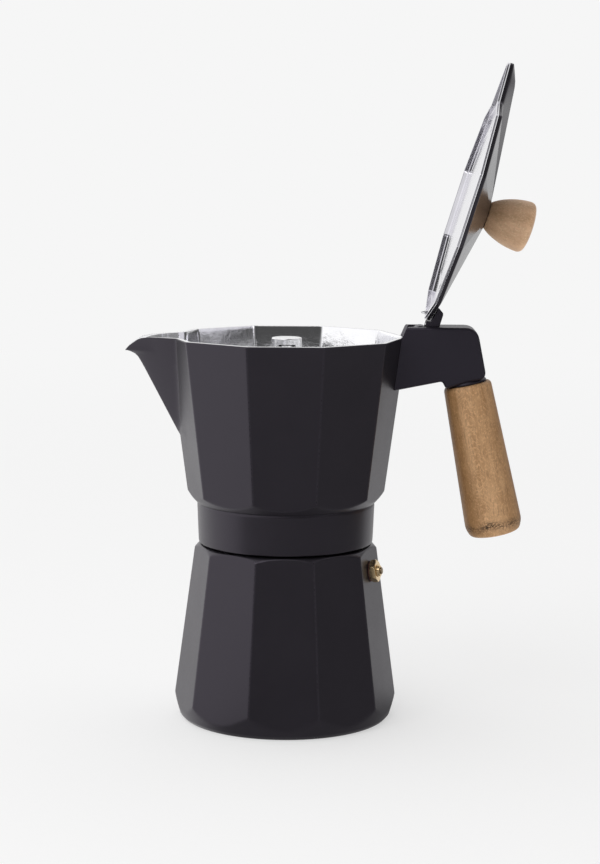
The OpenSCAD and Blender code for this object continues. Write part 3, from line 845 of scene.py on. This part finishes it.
def make_valve():
    outline = [(4.05, 0.05), (WASHER_R - 0.1, 0.05), (WASHER_R, 0.3),
               (WASHER_R - 0.1, WASHER_H - 0.02), (4.05, WASHER_H - 0.02)]
    washer = lathe("washer_ring", rounded(outline, 0.1), FIBRE, AT_VALVE)
    finished(washer, "boiler", "fibre", "valve_washer")

    corner = HEX_FLATS / 2 / math.cos(math.radians(30))
    angles = np.radians(np.unique(np.concatenate(
        [np.mod(60 * k + np.array([-20, -10, -4, -1.5, 0, 1.5, 4, 10, 20, 30]), 360)
         for k in range(6)])))
    off = np.abs(np.mod(angles, math.pi / 3) - math.pi / 6)
    hexagon = smin((HEX_FLATS / 2) / np.cos(off), (HEX_FLATS / 2) / np.cos(math.pi / 3 - off), 0.25)

    def row(radius, z):
        return ring(angles, radius, z)

    rings = [row(1.75, -7.5), row(3.9, -7.5)]
    rings += [row(3.9, WASHER_H), row(np.minimum(hexagon, 4.5), WASHER_H),
              row(smin(hexagon, 4.9, 0.1), WASHER_H + 0.05),
              row(smin(hexagon, corner + 0.05, 0.1), WASHER_H + 0.55)]
    top = WASHER_H + HEX_H
    rings += [row(smin(hexagon, corner + 0.05, 0.1), top - 0.65),
              row(smin(hexagon, 4.95, 0.1), top - 0.18), row(smin(hexagon, 4.62, 0.1), top - 0.02),
              row(3.2, top), row(2.9, top - 0.02), row(2.8, top - 0.25), row(2.8, -5.9),
              row(1.75, -5.9)]
    body = skin("valve_hex", rings, [BRASS], loop=True, matrix=AT_VALVE)
    sharp_smooth(body, 25)
    finished(body, "boiler", "brass", "valve_body")

    # the plug is short, so that the spring has room behind it
    outline = rounded([(1.62, top - 0.35), (2.75, top - 0.35), (2.75, top + 0.02),
                       (2.9, top + 0.02), (2.9, top + 0.25), (2.5, top + 0.45),
                       (2.5, top + 1.1), (2.3, top + 1.3), (1.62, top + 1.3)], 0.12)
    cap = sharp_smooth(lathe("valve_cap_ring", outline, BRASS, AT_VALVE), 30)
    finished(cap, "boiler", "brass", "valve_cap")

    # the pin's brass is darkened as painted shade for its recess
    outline = rounded([(0, -6.28), (1.28, -6.28), (2.45, -5.05), (2.45, -4.42), (1.33, -4.42),
                       (1.33, 3.4), (1.55, 3.4), (1.55, 5.35), (1.4, 5.5), (0, 5.5)], 0.08)
    pin = sharp_smooth(lathe("valve_pin", outline, SHADE_DARKENED_BRASS, AT_VALVE, SMALL_COUNT), 30)
    finished(pin, "valve", "steel", "valve_poppet")


# ---------------- handle

def make_bracket():
    """Moulding that follows the body's corner, with a slot for the lid's tongue."""
    top, start, rounding = 182.0, 46.5, 2.6
    side = rounded([(start, top), (start, 152.45), (70.9, 157.35), (72.5, 154.1),
                    (GRIP_ORIGIN.x + 0.5, GRIP_ORIGIN.z + 1.65),
                    (GRIP_ORIGIN.x + 8.35, GRIP_ORIGIN.z + 3.25), (86.5, top), (start, top)],
                   [0, 0, 1.2, 0, 0, 3.7, 5.4, 0], 6)
    body = extruded("handle_bracket", side[:-1], BRACKET_HALF, PLASTIC)
    bevelled(body, rounding, 6, 40)
    outline = [(0, -0.02), (BRACKET_HALF, -0.02), (BRACKET_HALF, 1.0),
               (BRACKET_HALF - rounding, 1.0 + rounding), (0, 1.0 + rounding)]
    collar = lathe("collar", rounded(outline, 0.5), PLASTIC, AT_GRIP)
    combine(body, "UNION", collar)
    # the notch has the body's ten sides, and leans away from it above the rim
    angles = np.radians(np.arange(0, 360, SECTOR))
    gap, lean = 0.12, 0.30
    heights = (140.0, RIM_Z - 0.5, 190.0)
    notch = [pole(heights[0])]
    for z in heights:
        radius = FOOT_OF_WALL_R + (z - FOOT_OF_WALL_Z) * COLLECTOR_SLOPE + gap
        notch.append(ring(angles, radius + lean * max(z - heights[1], 0.0), z))
    notch = skin("notch", [*notch, pole(heights[-1])], [PLASTIC])
    slot_left, slot_right = HINGE.x - 5.6, HINGE.x + 8.85
    slot = block("slot", (slot_left, -SLOT_HALF, HINGE.z - 4.7),
                 (slot_right, SLOT_HALF, 200), PLASTIC)
    front = block("front", (40, -SLOT_HALF, RIM_Z + 0.3),
                  (slot_left + 0.1, SLOT_HALF, 200), PLASTIC)
    hole = rod("hole", PIN_R + 0.05, (HINGE.x, 2 - BRACKET_HALF, HINGE.z),
               (HINGE.x, BRACKET_HALF + 1, HINGE.z), PLASTIC)
    combine(body, "DIFFERENCE", notch, slot, front, hole)
    bevelled(body, 0.35, 2, 50)
    sharp_smooth(body, 40)
    finished(body, "collector", "handle_black", "bracket")

    pin_low, pin_high = 2.45 - BRACKET_HALF, BRACKET_HALF - 0.25
    outline = rounded([(0, pin_low), (1.3, pin_low), (PIN_R, 0.2 + pin_low),
                       (PIN_R, pin_high - 0.2), (1.3, pin_high), (0, pin_high)], 0.2)
    place = mm_matrix(Matrix.Translation(HINGE) @ Matrix.Rotation(-math.pi / 2, 4, "X"))
    pin = lathe("pin_body", outline, STEEL, place, SMALL_COUNT)
    finished(pin, "collector", "steel", "hinge_pin")


def make_grip():
    end = -GRIP_LEN
    outline = [(4.6, end + 6), (4.6, end + 0.5), (5.1, end), (GRIP_END_R - 4.8, end),
               (GRIP_END_R - 1.5, end + 0.8), (GRIP_END_R + 0.05, end + 4.8),
               (GRIP_END_R, end + 8), (GRIP_TOP_R + 0.1, -1.2), (GRIP_TOP_R - 0.75, -0.02),
               (6.1, -0.02), (6.1, -4.1), (3.7, -4.1), (3.7, -9.6), (2.5, -9.6), (2.5, end + 6),
               (4.6, end + 6)]
    outline = rounded(outline, [0, 0.3, 0.3, 2.0, 2.2, 2.5, 3, 0.9, 0.5, 0, 0, 0, 0, 0, 0, 0], 5)
    fine = []
    for (r0, z0), (r1, z1) in zip(outline, outline[1:]):
        count = max(1, int(abs(z1 - z0) / 2.5))
        fine += [(r0 + (r1 - r0) * i / count, z0 + (z1 - z0) * i / count) for i in range(count)]

    def layers_of(points):
        """Darker, uneven band just above the rounded end, and painted shade on the flanks left and right.
        """
        angle = np.arctan2(points[:, 1], points[:, 0])
        height = points[:, 2] - (end + 5.4 + 0.5 * np.sin(3 * angle) + 0.4 * np.sin(7 * angle + 1))
        fade = np.clip(1.25 - np.abs(height) / 2.1, 0, 1)
        patches = 0.72 + 0.28 * np.sin(5 * angle + 0.8) * np.sin(2 * angle + 2.1)
        # painted shade: the flanks darken towards the left and right sides, as if turned away from the
        # light
        side = points[:, 0] / np.interp(points[:, 2], [end, 0], [GRIP_END_R, GRIP_TOP_R])
        flank = np.interp(side, [-1.0, -0.82, -0.35, 0.35, 0.8, 1.0],
                          [1.0, 0.80, 0.08, 0.0, 0.45, 0.70])
        return {"char": fade * patches, "flank": flank}

    grip = lathe("wood_grip", fine, GRIP_WOOD, AT_GRIP, LARGE_COUNT, layers_of)
    finished(grip, "collector", "wood", "grip")

    outline = rounded([(0, end + 4.9), (1.6, end + 4.9), (1.7, end + 3.0), (3.6, end + 3.0),
                       (4.2, end + 3.5), (4.2, end + 5.98), (2.4, end + 5.98), (2.4, 7.9),
                       (0, 7.95)], 0.3)
    bolt = lathe("bolt_body", outline, STEEL, AT_GRIP, SMALL_COUNT)
    finished(bolt, "collector", "steel", "grip_bolt")


# ---------------- lid, drawn shut in its own frame

def lid_outline(angles):
    """Distance from the axis to the lid's edge: ten sides and the point over the spout."""
    body = facet_radius(angles, LID_R * math.cos(HALF), 0.45)
    from_spout = spout_angle(angles)
    t = np.linspace(0, 1, 40)
    x = LID_REACH - t * (LID_REACH - COVER_X)
    y = COVER_HALF * np.interp(t, [0, 0.02, 0.42, 1.0], [0.14, 0.19, 0.50, 1.0])
    x = np.insert(np.append(x, 42), 0, LID_REACH)
    y = np.insert(np.append(y, 19.0), 0, 0.0)
    beak = np.interp(from_spout, np.arctan2(y, x), np.hypot(x, y), right=0.0)
    return smax(body, beak, 0.8)


def lid_height(x, y, lift=0.0):
    """Height of the lid's upper side: a ten-sided cone and the cover over the spout."""
    radius = np.hypot(x, y)
    angle = np.arctan2(y, x)
    off = np.abs(np.mod(angle, 2 * HALF) - HALF)
    across = np.maximum(radius * np.cos(off), radius * np.cos(2 * HALF - off))
    flat = radius * np.cos(off)
    corner = smax(flat, across - 0.0001, 0.5) / math.cos(HALF)
    cone = LID_EDGE_H + (LID_R - corner) * (APEX_H - LID_EDGE_H) / (LID_R - APEX_R)
    along = -x
    ridge = np.interp(along, [APEX_R, COVER_BEND_X, LID_REACH], [APEX_H, 4.6, 1.35])
    half = np.interp(along, [APEX_R, COVER_X, COVER_BEND_X, LID_REACH],
                     [2.0, COVER_HALF, 7.6, 2.3])
    foot = np.interp(along, [APEX_R, COVER_X, LID_REACH],
                     [APEX_H - 1.5, LID_EDGE_H, LID_EDGE_H])
    cover = ridge - (ridge - foot) * np.abs(y) / half
    cover = np.where(along > 2.0, cover, -5.0)
    return np.minimum(smax(cone, cover, 0.35), APEX_H) + lift


def make_lid_shell():
    angles = column_angles(True)
    edge = lid_outline(angles)
    shares = 1 - np.linspace(0, 1, 22) ** 1.15
    rows = Rows(angles)

    def dome(share, lift, shrink):
        radius = top_r + (edge - shrink - top_r) * share
        return radius, lid_height(radius * np.cos(angles), radius * np.sin(angles), lift)

    wall, roof, top_r, screw_r = 1.0, 0.55, APEX_R - 1.0, 2.1
    side = lid_height(edge * np.cos(angles), edge * np.sin(angles))
    rows.along([(edge - wall + 0.25, -0.95), (edge - 0.32, -0.95)], 1)
    rows.along([(edge, -0.62), (edge, -0.5), (edge, 0.55), (edge, side - 0.35),
                (edge - 0.08, side - 0.12), (edge - 0.32, side + 0.02)])
    rows.along([dome(share, 0.0, 0.6) for share in shares[1:]])
    rows.along([(top_r, APEX_H), (screw_r, APEX_H)])
    rows.along([(screw_r, APEX_H - roof), (top_r, APEX_H - roof)], 1)
    rows.along([dome(share, -roof, wall + 0.2) for share in shares[::-1][1:-1]], 1)
    rows.along([(edge - wall, side - roof - 0.1), (edge - wall, -0.7)], 1)
    # wear and painted highlight: the lid's corners are lightened too, less than the body's
    layers = {"edge": np.concatenate([edge_wear_and_highlight(angles) * 0.6 for _ in rows.rings])}
    shell = skin("lid_cone", rows.rings, [LID_BLACK, BRIGHT], rows.slots, loop=True,
                 matrix=AT_LID, layers=layers)
    finished(settled(shell), "lid", "lid_black", "lid_shell")


def make_lid_liner():
    """Bright pressed tray: rolled lip, short wall, flat sheet with one shallow step."""
    angles = column_angles(True)
    lip = lid_outline(angles) - 0.22
    rings = []

    def row(inset, z):
        rings.append(ring(angles, lip - inset, z))

    for inset, z in [(1.2, -1.0), (0.25, -1.0), (0.05, -1.06), (0.0, -1.16), (0.0, -1.60),
                     (0.06, -1.71), (0.2, -1.75), (1.0, -1.75)]:
        row(inset, z)
    # the wall leans on the two facets across the hinge line and stands upright elsewhere
    off_side = np.abs(np.degrees(spout_angle(angles)) - 90)
    lean = np.where(off_side < 17.6, 0.9, 0.0)
    for inset, share, z in [(1.17, 0, -1.73), (1.21, 0, -1.69), (1.22, 0, -1.62),
                            (1.225, 0.1, -1.42), (1.235, 0.85, -0.10), (1.24, 0.94, 0.08),
                            (1.28, 1, 0.20), (1.38, 1, 0.27), (1.60, 1, 0.29), (2.6, 0.5, 0.29)]:
        row(inset + share * lean, z)
    inner = [(0.955, 0.29), (0.80, 0.29), (0.775, 0.32), (0.755, 0.38), (0.73, 0.40),
             (0.50, 0.40), (0.25, 0.40)]
    flat_lip = facet_radius(angles, (LID_R - 4) * math.cos(HALF), 0.8)
    for share, z in inner:
        rings.append(ring(angles, flat_lip * share, z))
    rings += [pole(0.40), pole(0.60)]
    for share in (0.25, 0.5, 0.73, 0.955):
        rings.append(ring(angles, flat_lip * share, 0.60))
    for inset, z in [(3.1, 0.55), (1.9, 0.42), (1.05, 0.2), (0.98, -0.9)]:
        row(inset, z)
    liner = skin("liner_tray", rings, [TRAY], loop=True, matrix=AT_LID)
    finished(settled(liner), "lid", "bright_metal", "lid_liner")

    outline = rounded([(48.7, -0.25), (50.6, -4.0), (50.95, -4.1), (51.25, -3.9), (51.3, -0.25)],
                      0.3)
    tab = extruded("liner_tab", outline, 1.7, BRIGHT, AT_LID)
    bevelled(tab, 0.15, 2, 40)
    finished(sharp_smooth(tab), "lid", "bright_metal")


def make_tongue():
    pivot = HINGE.z - LID_Z
    knuckle = []
    for degrees in np.linspace(-205, 60, 27):
        a = math.radians(degrees)
        knuckle.append((HINGE.x + KNUCKLE_R * math.cos(a), pivot + KNUCKLE_R * math.sin(a)))
    outline = [(46.7, 2.75), (46.9, 3.5), (48.2, 5.5), (49.0, 5.8), (54.6, 5.8), (55.6, 5.5)]
    outline += knuckle[::-1]
    outline += [(53.95, -0.7), (53.75, 1.25)]
    tongue = extruded("hinge_tongue", outline, TONGUE_HALF, PLASTIC, AT_LID)
    bore = rod("bore", PIN_R + 0.07, (HINGE.x, -6, pivot), (HINGE.x, 6, pivot), PLASTIC, AT_LID)
    combine(tongue, "DIFFERENCE", bore)
    bevelled(tongue, 0.5, 3, 40)
    finished(sharp_smooth(tongue), "lid", "handle_black", "lid_tongue")

    leaf = extruded("hinge_leaf", [(53.8, -1.2), (56.8, -1.2), (56.8, -0.85), (53.8, -0.85)],
                    TONGUE_HALF - 0.4, BRIGHT, AT_LID)
    bevelled(leaf, 0.1, 2, 40)
    finished(sharp_smooth(leaf), "lid", "bright_metal")


def make_knob():
    profile = [(0, 0.02), (5.9, 0.02), (6.2, 0.3), (7.15, 1.6), (8.1, 3.2), (9.1, 5.3),
               (9.95, 7.6), (10.75, 10.2), (11.35, 13.2), (11.7, 16.2), (11.72, 17.8),
               (11.3, 19.1), (10.15, 20.05), (8.6, 20.58), (6.4, 21.0), (3.5, 21.28), (0, 21.36)]

    def layers_of(points):
        """No charred band, and painted shade on the neck."""
        return {"char": np.zeros(len(points)),
                "flank": 0.25 * np.clip(1 - points[:, 2] / 8, 0, 1)}

    knob = lathe("wood_knob", rounded(profile, 1.2, 3), KNOB_WOOD, AT_KNOB, LARGE_COUNT,
                 layers_of)
    finished(settled(knob), "lid", "wood", "knob", "knob_nut")


# ---------------- CAD nodes shown as they are

def dress(node, material):
    """Gives a CAD node its material in every slot."""
    slots = nodes[node].data.materials
    for i in range(len(slots)):
        slots[i] = material
    if not len(slots):
        slots.append(material)


make_boiler()
make_collector()
make_column()
make_valve()
make_bracket()
make_grip()
make_lid_shell()
make_lid_liner()
make_tongue()
make_knob()

for node, material in {
        "funnel": TURNED, "funnel_sieve": TURNED, "filter_plate": TURNED, "gasket": SEAL,
        "valve_spring": STEEL, "bracket_screw": STEEL, "grip_insert": BRASS, "tongue_rivets": STEEL,
        "knob_screw": STEEL}.items():
    dress(node, material)


# ---------------- floor, light and camera

PALE = 0.9216
FLOOR_FILL = 0.53


def make_world():
    """Pale backdrop, and a room of light and dark cards round the pot by their angle."""
    world = bpy.data.worlds.new("studio")
    scene.world = world
    t = Tree(world)
    direction = t.add("ShaderNodeTexCoord").outputs["Generated"]
    direction = t.split(direction)
    angle = t.math("ARCTAN2", direction["Y"], direction["X"])
    turn = t.math("MODULO", t.plus(t.math("DIVIDE", angle, 2 * math.pi), 1.0), 1.0)
    level = t.ramp(turn, [
        (0.000, 0.09), (0.080, 0.10), (0.135, 0.55), (0.250, 0.92), (0.350, 1.30), (0.520, 1.22),
        (0.565, 1.25), (0.610, 1.00), (0.655, 0.45), (0.700, 0.10), (0.790, 0.06), (0.850, 0.20),
        (0.890, 0.50), (0.920, 0.25), (0.950, 0.08), (1.000, 0.09)], "EASE")
    ceiling = t.ramp(turn, [
        (0.000, 0.80), (0.150, 1.05), (0.550, 1.10), (0.680, 0.90), (0.760, 0.20), (0.850, 0.04),
        (0.920, 0.25), (1.000, 0.80)], "EASE")
    high = t.ramp(direction["Z"], [(0.25, 0.0), (0.75, 1.0)], "EASE")
    level = t.mix(high, level, ceiling)
    path = t.add("ShaderNodeLightPath")
    seen = t.mix(path.outputs["Is Camera Ray"], level, grey(PALE))
    background = t.add("ShaderNodeBackground", Color=seen, Strength=1.0)
    output = t.add("ShaderNodeOutputWorld")
    t.tree.links.new(background.outputs[0], output.inputs["Surface"])


def make_floor():
    """Pale sweep that runs into the backdrop without a line."""
    size = 6.0
    mesh = bpy.data.meshes.new("floor")
    mesh.from_pydata([(-size, -size, 0), (size, -size, 0), (size, size, 0), (-size, size, 0)], [],
                     [(0, 1, 2, 3)])
    floor = bpy.data.objects.new("floor", mesh)
    scene.collection.objects.link(floor)
    material, t = new_material("floor_pale")
    coords = t.object_coords()
    x, y = t.split(coords)[0:2]
    far = t.math("SQRT", t.plus(t.math("POWER", x, 2.0), t.math("POWER", y, 2.0)))
    fade = t.ramp(t.math("DIVIDE", far, 3.0), [(0.12, 0.0), (0.55, 1.0)], "EASE")
    paper = t.noise(coords, 400.0, 3.0, 0.5)
    paper_lit = t.add("ShaderNodeBsdfDiffuse", Normal=t.bump(paper, 0.00002, 0.1),
                      Color=t.mix(paper, grey(0.455), grey(0.465))).outputs[0]
    fill = t.add("ShaderNodeEmission", Color=grey(FLOOR_FILL), Strength=1.0).outputs[0]
    added = t.add("ShaderNodeAddShader")
    t.tree.links.new(paper_lit, added.inputs[0])
    t.tree.links.new(fill, added.inputs[1])
    lit = added.outputs[0]
    glow = t.add("ShaderNodeEmission", Color=grey(PALE), Strength=1.0).outputs[0]
    seamless = t.add("ShaderNodeMixShader", Fac=fade)
    t.tree.links.new(lit, seamless.inputs[1])
    t.tree.links.new(glow, seamless.inputs[2])
    # reflections see a grey card there, which is dark in front of the pot
    front = t.plus(t.times(y, -1.0), t.times(x, 0.6))
    card = t.ramp(t.times(front, 0.5),
                  [(0.001, 0.90), (0.014, 0.30), (0.130, 0.26), (0.450, 0.26), (0.600, 0.95)],
                  "EASE")
    side = t.math("SUBTRACT", 1.0, t.times(x, 0.4))
    side = t.math("MAXIMUM", t.math("MINIMUM", side, 1.25), 0.75)
    mirrored = t.add("ShaderNodeEmission", Color=card, Strength=side).outputs[0]
    path = t.add("ShaderNodeLightPath")
    both = t.add("ShaderNodeMixShader", Fac=path.outputs["Is Glossy Ray"])
    t.tree.links.new(seamless.outputs[0], both.inputs[1])
    t.tree.links.new(mirrored, both.inputs[2])
    t.surface(both.outputs[0])
    mesh.materials.append(material)


def make_lights():
    """One wide softbox, high and to the left of the camera."""
    softbox = bpy.data.lights.new("softbox", "AREA")
    softbox.shape = "RECTANGLE"
    softbox.size, softbox.size_y = 1.3, 1.0
    softbox.energy = 6.0
    key = bpy.data.objects.new("softbox", softbox)
    place, target = Vector((-0.55, -1.25, 1.35)), Vector((0.02, 0, 0.12))
    key.location = place
    key.rotation_euler = (target - place).to_track_quat("-Z", "Y").to_euler()
    scene.collection.objects.link(key)


def make_camera():
    data = bpy.data.cameras.new("camera")
    data.sensor_fit = "HORIZONTAL"
    data.sensor_width = 36.0
    data.lens = 131.98
    data.clip_end = 50.0
    camera = bpy.data.objects.new("camera", data)
    # metres and radians, and the whole is then turned a little about the pot's axis
    pitch, roll, orbit = 0.1393, 0.0064, math.radians(0.35)
    place = Matrix.Translation((0.006316, -1.00214, 0.273157))
    look = Matrix.Rotation(math.pi / 2 - pitch, 4, "X") @ Matrix.Rotation(roll, 4, "Z")
    camera.matrix_world = Matrix.Rotation(orbit, 4, "Z") @ place @ look
    scene.collection.objects.link(camera)
    scene.camera = camera


make_world()
make_floor()
make_lights()
make_camera()
scene.view_settings.view_transform = "Standard"
